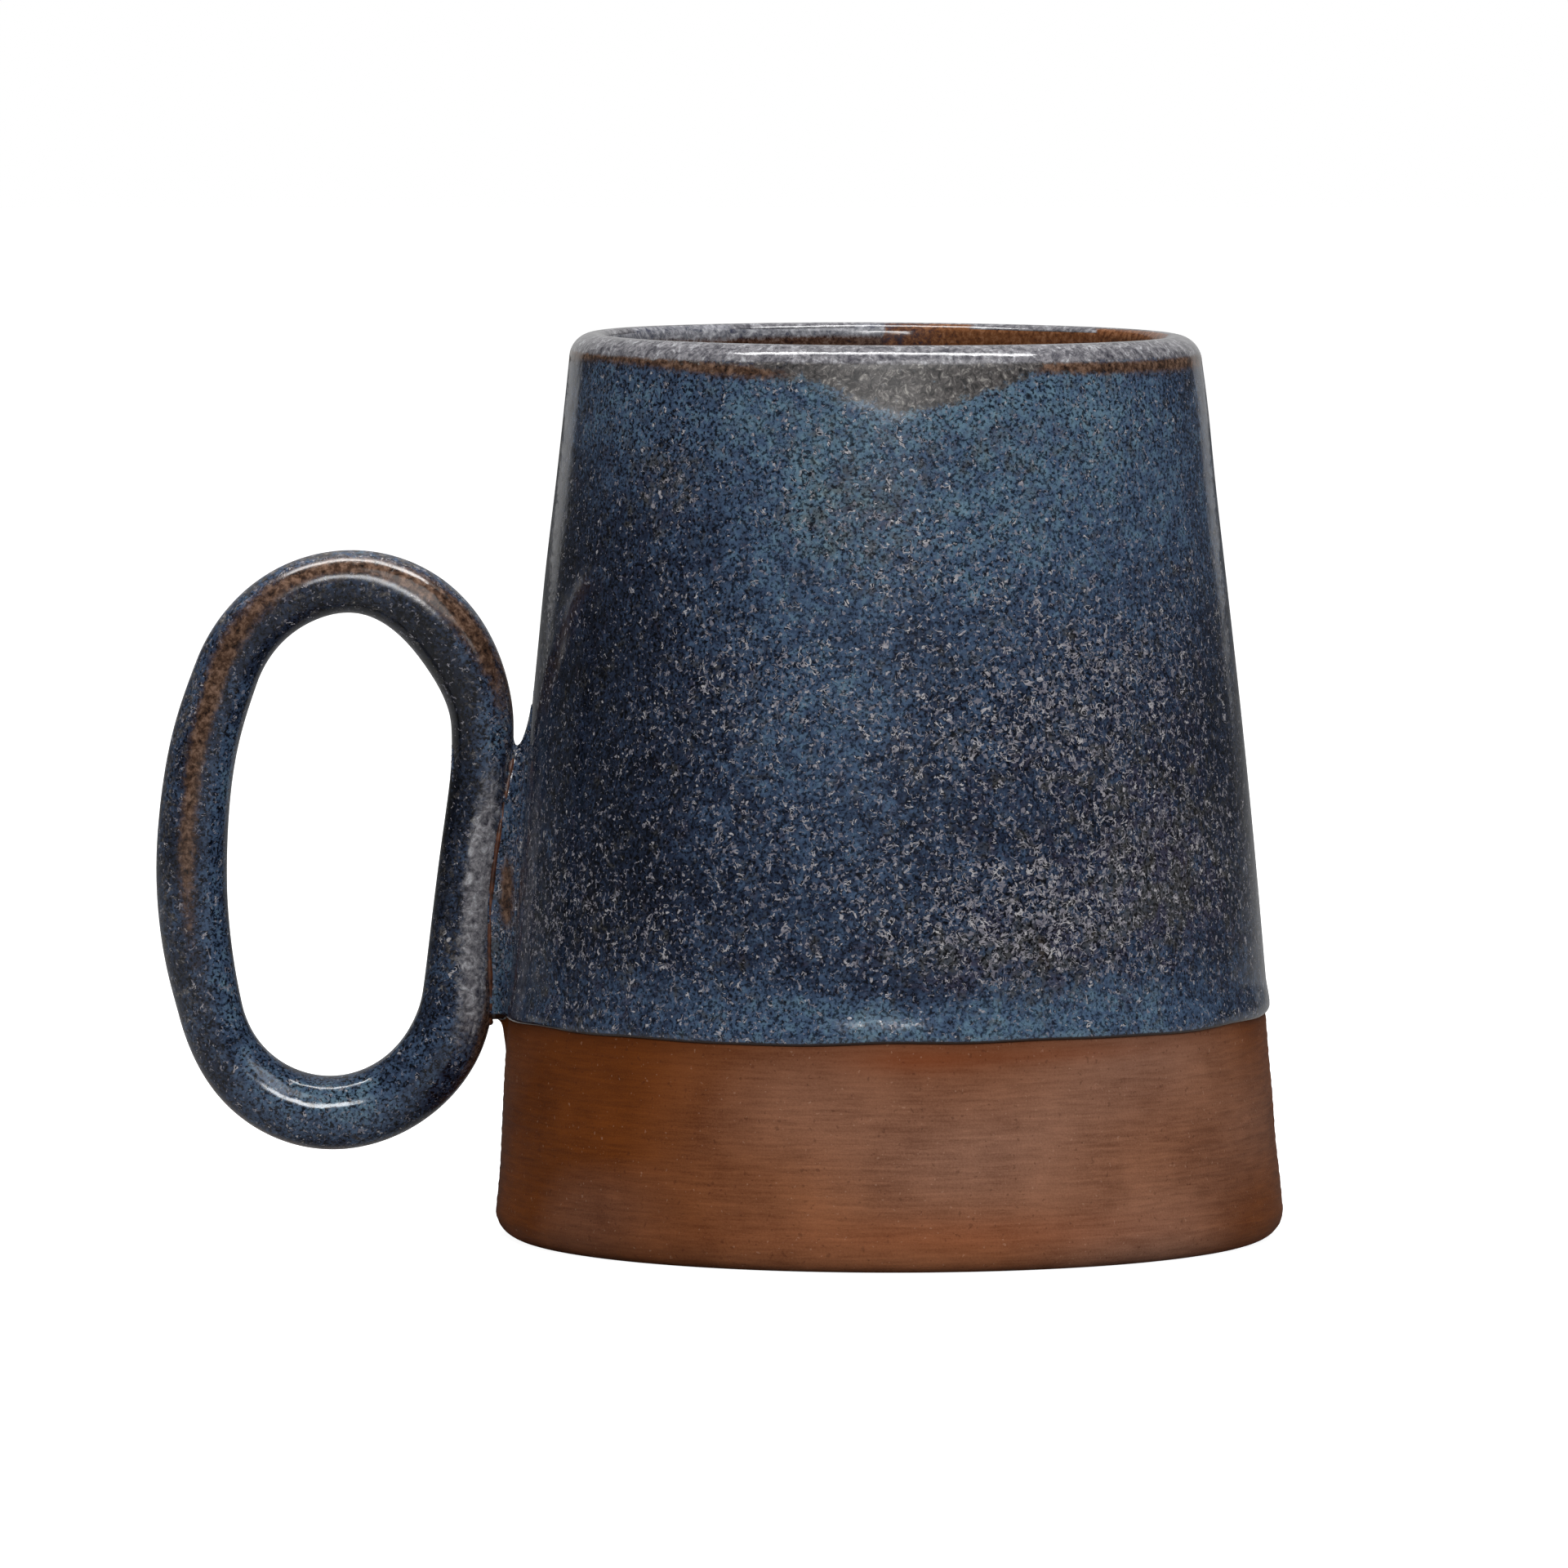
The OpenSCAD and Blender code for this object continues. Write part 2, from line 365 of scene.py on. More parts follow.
def outer_glaze_relief(phi, z, shows):
    """Lets the lower edge follow its wave, and runs the glaze a little thick and thin."""
    wave = glaze_wave(phi) * (1 - smooth(GLAZE_LINE + 3, GLAZE_LINE + 22, z))
    runs = 0.035 * drift(phi, z, 31, 0.02) * smooth(GLAZE_LINE + 2, GLAZE_LINE + 8, z) * shows
    slope = (wall_r(GLAZE_LINE + 1) - wall_r(GLAZE_LINE)) * wave
    return runs + slope, wave + 0 * z


def make_outer_glaze():
    """The coat on the outside, from its rolled edge over the lip, with its own inner face."""
    edge = glaze_edge_profile()
    step_z = (LIP_START - edge[-1, 1]) / WALL_ROWS
    wall = wall_rows(edge[-1, 1] + step_z, LIP_START, step_z, GLAZE_T)
    lip = arc(CREST_R, LIP_START, LIP_OUT_R + GLAZE_T, 0, 90, 15)[1:]
    turn_in = arc(CREST_R, CLAY_TOP - LIP_IN_R, LIP_IN_R + GLAZE_T, 90, 150, 8)[1:]
    sunk = arc(CREST_R, CLAY_TOP - LIP_IN_R, LIP_IN_R + 0.1, 165, 90, 3)
    under_lip = arc(CREST_R, LIP_START, LIP_OUT_R, 80, 0, 5)
    under_wall = wall_rows(LIP_START - 2, GLAZE_LINE, 9, -0.02)
    profile = np.concatenate([edge, wall, lip, turn_in, sunk, under_lip, under_wall])
    skin = len(edge) + len(wall) + len(lip) + len(turn_in)
    return turned("outer_glaze", profile, GLAZE_COLS, True, skin, outer_glaze_relief, glaze_masks)


def glaze_masks(phi, z):
    """What the glaze does where: its ground tone, partly painted shade on the left and right sides,
    specks, clumps, bare breaks and pale lip.
    """
    gap = turn_gap(phi, 0)
    left = (1 - smooth(-52, -8, gap)) * smooth(-175, -110, gap)
    slow = drift(phi, z, 41, 0.02)
    fine = drift(phi, z, 42, 0.06)
    vee_gap = turn_gap(phi, VEE_AT)
    vee_depth = VEE_H * (1 - np.abs(vee_gap) / np.where(vee_gap < 0, VEE_LEFT, VEE_RIGHT)) + 1.1 * fine
    below_lip = BARE_BELOW_LIP_Z - z
    high = smooth(62, 98, z)
    foot_band = 1 - smooth(GLAZE_LINE + 4, GLAZE_LINE + 10 + 2 * slow, z)
    right = smooth(34, 66, gap) * (1 - smooth(110, 160, gap))
    # Painted shade: the tone is partly darkened on the left and right sides, where less light falls, and
    # so is the foot band's tone below.
    tone = 0.47 + 0.07 * slow - 0.24 * left * (1 - 0.5 * high) - 0.14 * right
    tone = tone + 0.2 * high * smooth(-30, 25, gap + 10 * fine)
    tone = tone + 0.2 * blob(phi, z, -45, 100, 40, 7) + 0.18 * blob(phi, z, -12, 88, 14, 8)
    tone = tone - 0.08 * blob(phi, z, 20, 60, 60, 20) + 0.14 * blob(phi, z, -10, 66, 14, 16)
    tone = tone - 0.16 * blob(phi, z, 46, 54, 40, 24) - 0.14 * blob(phi, z, -50, 38, 25, 12)
    tone = tone * (1 - foot_band) + foot_band * (0.62 - 0.26 * left - 0.24 * right)
    pale = 0.4 + 0.1 * fine + 0.08 * slow - 0.3 * smooth(68, 92, z) - 0.2 * left - 0.2 * right
    pale = pale + 0.24 * blob(phi, z, 20, 40, 50, 9) + 0.05 * blob(phi, z, 34, 60, 45, 16)
    pale = pale + 0.5 * blob(phi, z, -42, 91, 9, 4.5) + 0.02 * blob(phi, z, -32, 38, 34, 8)
    pale = pale * (1 - 0.75 * foot_band) * smooth(-2, 12, below_lip)
    taupe = 0.75 * blob(phi, z, 16, 37, 22, 6) + 0.7 * blob(phi, z, 48, 45, 16, 9)
    taupe = taupe + 0.5 * blob(phi, z, -42, 92, 10, 5) + 0.15 * blob(phi, z, 28, 58, 40, 12)
    taupe = taupe + 0.5 * blob(phi, z, -8, 88, 12, 6) + 0.35 * blob(phi, z, 22, 96, 14, 4)
    back = 1 - smooth(95, 130, 180 - np.abs(turn_gap(phi, 180)))
    broke = np.exp(-((below_lip - 0.1 + 0.35 * fine) / 0.95) ** 2) * (1 - 0.7 * smooth(0, 2, vee_depth))
    return {
        "tone": np.clip(tone, 0, 1),
        "pale": np.clip(pale + 0.12 * back * slow, 0, 1),
        "taupe": np.clip(taupe + 0.15 * slow, 0, 1),
        # The extra dark grain on the left is partly painted shade too.
        "dark": np.clip(0.55 + 0.25 * left + 0.15 * fine - 0.2 * foot_band, 0, 1),
        "broke": broke,
        "vee": smooth(-1.6, 1.8, vee_depth - below_lip),
        "lip": smooth(0.6, 1.5, z - LIP_START),
        "edge": 1 - smooth(0.1, 0.8, z - GLAZE_LINE - glaze_wave(phi)),
    }


# ---- liner
def liner_relief(phi, z, shows):
    """Throwing rings up the inside."""
    spiral = z + 2.2 * phi / 360
    inside = smooth(FLOOR_Z + 3, 20, z) * (1 - smooth(96, 104, z))
    return 0.16 * np.sin(spiral * TAU / 5.5) * inside * shows, 0 * z


def make_liner():
    """The coat on the inside, from the crest of the lip to the middle of the floor."""
    skin = inside_rows(GLAZE_T, 0.9, 14)
    skin[:4, 1] -= np.array([0.05, 0.05, 0.04, 0.02])
    against = inside_rows(0.02, 9, 4)[::-1]
    profile = np.concatenate([skin, against])
    return turned("liner_glaze", profile, LINER_COLS, False, len(skin), liner_relief, liner_masks)


def liner_masks(phi, z):
    """Where the liner is pale on the lip, brown on and below it at the right, and pooled."""
    slow = drift(phi, z, 51, 0.03)
    fine = drift(phi, z, 52, 0.1)
    from_back = turn_gap(phi, 180)
    right = smooth(-14, 14, -from_back + 8 * fine) * smooth(-20, 10, turn_gap(phi, 0) - 40)
    below = CLAY_TOP + GLAZE_T - z
    brown = (1 - smooth(5, 11, below + 2 * slow)) * (1 - 0.4 * blob(phi, 0, 176, 0, 12, 1))
    return {
        "rim": (1 - smooth(1.2, 2.4, below + 0.3 * fine)) * (1 - 0.85 * right),
        "brown": np.clip(brown, 0, 1),
        "right": right,
        "pool": 1 - smooth(FLOOR_Z, FLOOR_Z + 9, z),
    }


# ---- the shape of the ring
# Place along the ring, push out from its true line, radius of the glazed coil
RING_HAND = np.array((
    (0.02, 0.05, 3.75), (0.06, -0.5, 4.4), (0.105, -0.1, 4.3), (0.15, 0.5, 3.7), (0.19, 0.1, 3.8),
    (0.24, -0.3, 3.75), (0.28, -0.3, 3.85), (0.33, 0.0, 4.05), (0.42, -0.1, 4.25), (0.5, -0.2, 4.1),
    (0.55, -0.6, 3.75), (0.6, 0.15, 4.1), (0.65, 0.6, 4.4), (0.73, 0.55, 4.5), (0.77, 0.45, 4.6),
    (0.81, 0.5, 4.1), (0.86, 0.4, 3.8), (0.9, 0.5, 3.75), (0.95, 0.95, 3.7), (0.985, 1.0, 3.7),
))


def direction(angle):
    """Unit vector (x, z) at an angle from the outward direction."""
    return np.array([math.cos(angle), math.sin(angle)])


def ring_arcs():
    """The stretches of the ring's centre line: (centre, radius, first angle, last angle)."""
    across = TOP_BEND - LOW_BEND
    gap = math.hypot(*across)
    tilt = math.atan2(across[1], across[0])
    leg = tilt - math.pi / 2 + math.asin((LOW_BEND_R - TOP_BEND_R) / gap)
    to_top = OUTER_SIDE_R - TOP_BEND_R
    to_low = OUTER_SIDE_R - LOW_BEND_R
    along = (to_low ** 2 - to_top ** 2 + gap ** 2) / (2 * gap)
    aside = math.sqrt(to_low ** 2 - along ** 2)
    side = LOW_BEND + along * direction(tilt) + aside * direction(tilt - math.pi / 2)
    top_meet = math.atan2(*(TOP_BEND - side)[::-1])
    low_meet = math.atan2(*(LOW_BEND - side)[::-1]) + TAU
    return ((TOP_BEND, TOP_BEND_R, leg, top_meet), (side, OUTER_SIDE_R, top_meet, low_meet),
            (LOW_BEND, LOW_BEND_R, low_meet, leg + TAU))


def ring_line(count):
    """Points (x, z) evenly along the ring's centre line from the top of its inner leg, with the
    outward normals and each point's place along it from 0 to 1."""
    fine = 600
    arcs = ring_arcs()
    parts = []
    for centre, radius, first, last in arcs:
        a = np.linspace(first, last, fine, endpoint=False)
        parts.append(centre + radius * np.stack([np.cos(a), np.sin(a)], axis=1))
    low_end = LOW_BEND + LOW_BEND_R * direction(arcs[2][3])
    top_end = parts[0][0]
    parts.append(low_end + (top_end - low_end) * np.linspace(0, 1, fine, endpoint=False)[:, None])
    line = np.concatenate(parts)
    step = np.hypot(*(np.roll(line, -1, axis=0) - line).T)
    place = np.concatenate([[0], np.cumsum(step)[:-1]]) / step.sum()
    s = np.arange(count) / count
    x = np.interp(s, place, line[:, 0], period=1)
    z = np.interp(s, place, line[:, 1], period=1)
    return hand_rolled(np.stack([x, z], axis=1), s)


def normals_of(line):
    """Outward unit normals of a closed line of (x, z) points."""
    ahead = np.roll(line, -1, axis=0) - np.roll(line, 1, axis=0)
    out = np.stack([ahead[:, 1], -ahead[:, 0]], axis=1)
    return out / np.hypot(*out.T)[:, None]


def hand_rolled(line, s):
    """Pushes the true line in and out a little, as a coil bent by hand is."""
    moved = line + normals_of(line) * by_hand(s, 1)[:, None]
    return moved, normals_of(moved), s


def by_hand(s, column):
    """A column of RING_HAND at places s, rounded off between its points."""
    shifts = np.linspace(-0.035, 0.035, 9)
    weights = 1 - np.abs(shifts) / 0.045
    known, value = RING_HAND[:, 0], RING_HAND[:, column]
    values = [np.interp((s + shift) % 1, known, value, period=1) for shift in shifts]
    return np.tensordot(weights / weights.sum(), np.array(values), 1)


def ring_r(s):
    """Radius of the glazed coil along the ring."""
    return by_hand(s, 2)


def ring_tube(rows, cols, off):
    """Points of the coil's surface at off from its glaze, and each point's place and angle.
    Angle 0 is the ring's outer edge, 90 faces the viewer at the front and 180 is the finger side."""
    line, out, s = ring_line(rows)
    angle = np.arange(cols) / cols * TAU
    along = TAU * s[:, None]
    lumps = 0.03 * np.sin(2 * angle + 5 * along) + 0.02 * np.cos(3 * angle - 9 * along)
    radius = ring_r(s)[:, None] + off + lumps
    side = radius * np.cos(angle)
    x = line[:, 0:1] + out[:, 0:1] * side
    z = line[:, 1:2] + out[:, 1:2] * side
    y = -radius * np.sin(angle)
    points = np.stack([x, y, z], axis=-1).reshape(-1, 3)
    place = np.repeat(s[:, None], cols, axis=1)
    turn = np.repeat(np.degrees(angle)[None, :], rows, axis=0)
    return points, place, turn


def ring_spot(place, turn, s, angle, long, wide):
    """A soft spot on the ring: s and long along it, angle and wide around it in degrees."""
    along = (place - s + 0.5) % 1 - 0.5
    return np.exp(-((along / long) ** 2) - ((turn_gap(turn, angle) / wide) ** 2))


def ring_masks(place, turn):
    """The glaze breaks brown on the ring's ridges, greys along the inner leg, partly as a painted
    reflection, and pools blue below. Painted shade darkens the finger side and a painted sheen lightens
    the top's outer edge.
    """
    def spot(*where):
        return ring_spot(place, turn, *where)

    a = np.radians(turn)
    slow = np.sin(6 * TAU * place + 2 * np.sin(a)) * 0.5 + np.sin(13 * TAU * place + a + 1) * 0.5
    broke = 1.1 * spot(0.14, 56, 0.10, 21) + 0.95 * spot(0.28, 78, 0.07, 19)
    broke = broke + 0.9 * spot(0.4, 84, 0.09, 15) + 0.7 * spot(0.06, 40, 0.05, 22)
    broke = broke + 0.7 * spot(0.63, 12, 0.09, 18) + 0.9 * spot(0.02, 8, 0.035, 14)
    broke = broke + 0.7 * spot(0.78, 24, 0.035, 20) + 0.6 * spot(0.2, -60, 0.2, 20)
    broke = broke + 0.6 * spot(0.45, -85, 0.14, 18) + 0.8 * spot(0.89, 36, 0.08, 9)
    # The light grey strip along the inner leg, front and back, is partly thin glaze and partly a painted
    # reflection of the lights.
    grey = 1.4 * spot(0.885, 68, 0.08, 28) + 0.5 * spot(0.79, 62, 0.03, 30)
    grey = grey + 1.1 * spot(0.885, -68, 0.08, 24)
    # Painted sheen: the light grey along the top bend's outer edge stands for a broad reflection of the
    # overhead light. It lightens the tone, adds pale flecks and adds to the stony mask.
    silver_sheen = spot(0.12, 15, 0.12, 26) + 0.6 * spot(0.3, 30, 0.12, 22) + 0.5 * spot(0.02, 60, 0.03, 30)
    # Dark blue on the finger-side faces of the top bend and the inner leg: partly the glaze's colour and
    # partly painted shade where those faces turn from the light. It darkens the tone and adds dark
    # grain.
    navy_shade = spot(0.14, 150, 0.14, 45) + 0.8 * spot(0.03, 140, 0.06, 40) + 0.7 * spot(0.92, 150, 0.1, 35)
    blue = spot(0.68, 112, 0.09, 60) + 0.8 * spot(0.5, 130, 0.13, 35) + 0.5 * spot(0.99, 70, 0.03, 25)
    blue = blue + 0.6 * spot(0.33, 140, 0.08, 25)
    tone = 0.28 + 0.08 * slow + 0.36 * blue + 0.28 * silver_sheen - 0.24 * navy_shade
    stony = 0.44 + 0.2 * silver_sheen + 0.06 * slow - 0.5 * blue - 0.1 * navy_shade - 0.4 * broke
    return {
        "tone": np.clip(tone, 0, 1),
        "pale": np.clip(0.04 + 0.1 * slow + 0.5 * silver_sheen - 0.2 * navy_shade, 0, 1),
        "taupe": 0.1 * slow - 0.4,
        "dark": np.clip(0.8 + 0.2 * navy_shade, 0, 1),
        "broke": np.clip(broke, 0, 1),
        "vee": np.clip(stony, 0, 1),
        # On the ring the lip mask carries the inner leg's grey, partly a painted reflection.
        "lip": np.clip(grey, 0, 1),
        "edge": 0 * place,
    }


def ring_layout(rows, cols, low, high):
    """Bake coordinates of a tube round the ring, laid across each strip from low to high."""
    start, end = (pair[:, None, None] for pair in corner_pairs(rows))
    left, right = (pair[None, :, None] for pair in corner_pairs(cols))
    along = np.concatenate([start, start, end, end], axis=-1)
    across = np.concatenate([left, right, right, left], axis=-1)
    return in_strips(along, low + across * (high - low), 3)


def make_ring_glaze():
    """The coat on the ring: its skin and the face against the clay."""
    points, place, turn = ring_tube(*RING_SKIN, 0)
    inner, inner_place, inner_turn = ring_tube(*RING_INSIDE, -GLAZE_T)
    faces = grid_faces(*RING_SKIN, True) + grid_faces(*RING_INSIDE, True, len(points))
    shown = 1 - HIDDEN_SHARE
    layout = np.concatenate([ring_layout(*RING_SKIN, 0, shown), ring_layout(*RING_INSIDE, shown, 1)])
    skin_masks = ring_masks(place, turn)
    inner_masks = ring_masks(inner_place, inner_turn)
    masks = {key: np.append(skin_masks[key], inner_masks[key]) for key in skin_masks}
    return new_object("ring_glaze", np.concatenate([points, inner]), faces, masks, layout)


def make_clay_ring():
    """The coil of clay under the ring's glaze."""
    points, place, _ = ring_tube(*CLAY_RING, -GLAZE_T - 0.02)
    masks = {"flush": 0.4 + 0 * place, "mauve_sheen": 0 * place, "glaze_line_dark_and_bounce": 0 * place, "rust": 0 * place}
    return new_object("clay_ring", points, grid_faces(*CLAY_RING, True), masks)


# ---- bridge
def soft_min(a, b, reach):
    """The lesser of two distances, filleted where they are within reach of each other."""
    h = np.maximum(reach - np.abs(a - b), 0) / reach
    return np.minimum(a, b) - h * h * reach / 4


def wall_gap(p):
    """Distance outside the clay wall of the leaning cup."""
    x = p[..., 0] - LEAN * p[..., 2]
    phi = np.degrees(np.arctan2(p[..., 1], x)) + 90
    return np.hypot(x, p[..., 1]) - wall_r(p[..., 2]) - swell(phi, p[..., 2])


def ring_section(z):
    """The ring's inner leg at height z: its middle x and its glazed radius."""
    line, _, s = ring_line(480)
    # The inner leg and the start of each bend lie at places -0.22 to 0.10
    inner = np.abs((s + 0.5) % 1 - 0.5 + 0.06) < 0.16
    order = np.argsort(line[inner, 1])
    x, heights = line[inner][order].T
    return np.interp(z, heights, x), np.interp(z, heights, ring_r(s[inner])[order])


def ring_gap(p):
    """Distance outside the clay of the ring's inner leg."""
    x, radius = ring_section(p[..., 2])
    return np.hypot(p[..., 0] - x, p[..., 1]) - radius + GLAZE_T


def web_gap(p):
    """Distance outside the flat web that runs from the ring into the cup."""
    y = p[..., 1] / BRIDGE_HALF_W
    z = (p[..., 2] - BRIDGE_MID_Z) / BRIDGE_HALF_H
    reach = np.hypot(y, z) + 1e-6
    slope = np.hypot(y / BRIDGE_HALF_W, z / BRIDGE_HALF_H) + 1e-6
    return reach * (reach - 1) / slope


def wall_fillet(z):
    """How far the web's flare into the cup reaches: wide at its middle, small at its ends."""
    along = np.clip(np.abs(z - BRIDGE_MID_Z) / BRIDGE_HALF_H, 0, 1)
    return END_FILLET + (WALL_FILLET - END_FILLET) * (1 - along ** 2)


def bridge_field(p, off, sink):
    """Negative inside the bridge, grown by off. It is cut off at sink outside the wall and the ring;
    a sink below 0 lets it reach that deep into them."""
    wall = wall_gap(p)
    ring = ring_gap(p)
    web = soft_min(wall, web_gap(p), wall_fillet(p[..., 2]))
    joined = soft_min(web, ring, RING_FILLET)
    bulge = np.minimum(wall, ring) - joined
    body = np.maximum(joined - off, 0.03 - bulge)
    return np.maximum(body, np.maximum(sink - wall, sink - ring))


def cell_points(grid, value, cells):
    """The mean of the places where each grid cell's edges cross zero, and how many there are."""
    total = np.zeros(cells + (3,))
    hits = np.zeros(cells)

    def corner_of(a, c):
        return a[c[0]:c[0] + cells[0], c[1]:c[1] + cells[1], c[2]:c[2] + cells[2]]

    for one in [(i, j, k) for i in (0, 1) for j in (0, 1) for k in (0, 1)]:
        for axis in range(3):
            if one[axis]:
                continue
            two = tuple(v + (n == axis) for n, v in enumerate(one))
            a, b = corner_of(value, one), corner_of(value, two)
            crossed = (a < 0) != (b < 0)
            t = np.where(crossed, a / np.where(crossed, a - b, 1), 0)[..., None]
            point = corner_of(grid, one) * (1 - t) + corner_of(grid, two) * t
            total += point * crossed[..., None]
            hits += crossed
    return total, hits


def net_faces(inside, index, count):
    """Quads round the grid edges that cross zero, as numbers of the points in index."""
    faces = []
    for axis in range(3):
        ahead = np.roll(inside, -1, axis=axis)
        spot = np.stack(np.nonzero(inside != ahead), axis=1)
        keep = spot[:, axis] < count[axis] - 1
        others = [n for n in range(3) if n != axis]
        for n in others:
            keep &= (spot[:, n] > 0) & (spot[:, n] < count[n] - 1)
        spot = spot[keep]
        quad = []
        for da, db in ((0, 0), (1, 0), (1, 1), (0, 1)):
            at = spot.copy()
            at[:, others[0]] -= da
            at[:, others[1]] -= db
            quad.append(index[at[:, 0], at[:, 1], at[:, 2]])
        faces += np.stack(quad, axis=1).tolist()
    return faces


def net_surface(field, low, high, step):
    """Surface net of field's zero level: one point in each grid cell that it crosses."""
    count = [int((b - a) / step) + 2 for a, b in zip(low, high)]
    axes = [a + step * np.arange(n) for a, n in zip(low, count)]
    grid = np.stack(np.meshgrid(*axes, indexing="ij"), axis=-1)
    value = field(grid)
    cells = tuple(n - 1 for n in count)
    total, hits = cell_points(grid, value, cells)
    used = hits > 0
    index = np.full(cells, -1)
    index[used] = np.arange(used.sum())
    return total[used] / hits[used][:, None], net_faces(value < 0, index, count)


def make_bridge_clay():
    """The web of clay, which reaches a little into the wall and the ring."""
    def field(p):
        return bridge_field(p, 0, -1.2)

    points, faces = net_surface(field, *BRIDGE_BOX, CLAY_CELL)
    phi = np.degrees(np.arctan2(points[:, 1], points[:, 0])) + 90
    return new_object("bridge_clay", points, faces, clay_masks(phi, points[:, 2]))


def make_bridge_glaze():
    """The coat on the web, down to the glaze line, with a bare spot on the viewer's side."""
    def field(p):
        phi = np.degrees(np.arctan2(p[..., 1], p[..., 0])) + 90
        line = GLAZE_LINE - 0.5 + glaze_wave(phi)
        skin = np.maximum(bridge_field(p, GLAZE_T, GLAZE_T * 0.6), -bridge_field(p, 0, -3))
        return -soft_min(-skin, p[..., 2] - line, 0.5)

    points, faces = net_surface(field, *BRIDGE_BOX, GLAZE_CELL)
    x, y, z = points.T
    masks = glaze_masks(np.degrees(np.arctan2(y, x)) + 90, z)
    bare = np.exp(-((z - BARE_SPOT_Z) / 4.2) ** 4 - ((x - BARE_SPOT_X) / 0.9) ** 2) * (y < 0)
    masks["broke"] = np.clip(masks["broke"] + bare, 0, 1)
    masks["tone"] = np.clip(masks["tone"] + 0.2, 0, 1)
    masks["pale"] = np.clip(masks["pale"] + 0.1, 0, 1)
    return new_object("bridge_glaze", points, faces, masks)


# ---- slip at the two joints
def bead(name, path, radius):
    """A closed bead of slip along a loop of points, a little fat and thin."""
    ahead = np.roll(path, -1, axis=0) - np.roll(path, 1, axis=0)
    ahead /= np.linalg.norm(ahead, axis=1)[:, None]
    side = np.cross(ahead, [1.0, 0, 0])
    side /= np.linalg.norm(side, axis=1)[:, None]
    rise = np.cross(side, ahead)
    angle = np.arange(BEAD_COLS) / BEAD_COLS * TAU
    s = np.arange(len(path)) / len(path)
    fat = radius * (1 + 0.18 * np.sin(7 * TAU * s) + 0.12 * np.sin(17 * TAU * s + 1))[:, None, None]
    across, up = np.cos(angle)[None, :, None], np.sin(angle)[None, :, None]
    points = (path[:, None] + fat * (side[:, None] * across + rise[:, None] * up)).reshape(-1, 3)
    return new_object(name, points, grid_faces(len(path), BEAD_COLS, True))


def make_slip_ring_joint():
    """Slip in the corner where the bridge's glaze meets the ring's."""
    reach = BRIDGE_HALF_H + 4
    z = np.linspace(BRIDGE_MID_Z - reach, BRIDGE_MID_Z + reach, 400)
    angle = np.radians(np.linspace(0, 90, 181))[:, None]
    x, radius = ring_section(z)
    skin = np.stack([x + radius * np.cos(angle), -radius * np.sin(angle), z + 0 * angle], axis=-1)
    covered = soft_min(wall_gap(skin), web_gap(skin), wall_fillet(z)) < GLAZE_T
    joined = covered[0]
    corner = angle[np.argmin(covered, axis=0), 0]
    low, high = z[joined][[0, -1]]
    t = np.arange(BEAD_POINTS) / BEAD_POINTS * TAU
    z_at = (low + high) / 2 + (high - low) / 2 * np.sin(t)
    corner_at = np.interp(z_at, z[joined], corner[joined])
    x, radius = ring_section(z_at)
    y = -radius * np.sin(corner_at) * np.sign(np.cos(t)) * np.minimum(1, np.abs(np.cos(t)) * 6)
    path = np.stack([x + np.sqrt(radius ** 2 - y ** 2), y, z_at], axis=1)
    return bead("slip_at_ring", path, SLIP_AT_RING_R)


def make_slip_cup_joint():
    """Slip round the end of the web, under the glaze, where it meets the cup."""
    t = np.arange(BEAD_POINTS) / BEAD_POINTS * TAU
    y = (BRIDGE_HALF_W + 1.2) * np.cos(t)
    z = BRIDGE_MID_Z + (BRIDGE_HALF_H + 1.4) * np.sin(t)
    x = -np.sqrt((wall_r(z) + swell(270 + 0 * z, z)) ** 2 - y ** 2) + LEAN * z
    return bead("slip_at_cup", np.stack([x, y, z], axis=1), SLIP_AT_CUP_R)


# ---- materials
def linear(colour):
    """Linear colour from a hex string."""
    parts = [int(colour[i:i + 2], 16) / 255 for i in (1, 3, 5)]
    return [p / 12.92 if p <= 0.04045 else ((p + 0.055) / 1.055) ** 2.4 for p in parts] + [1]


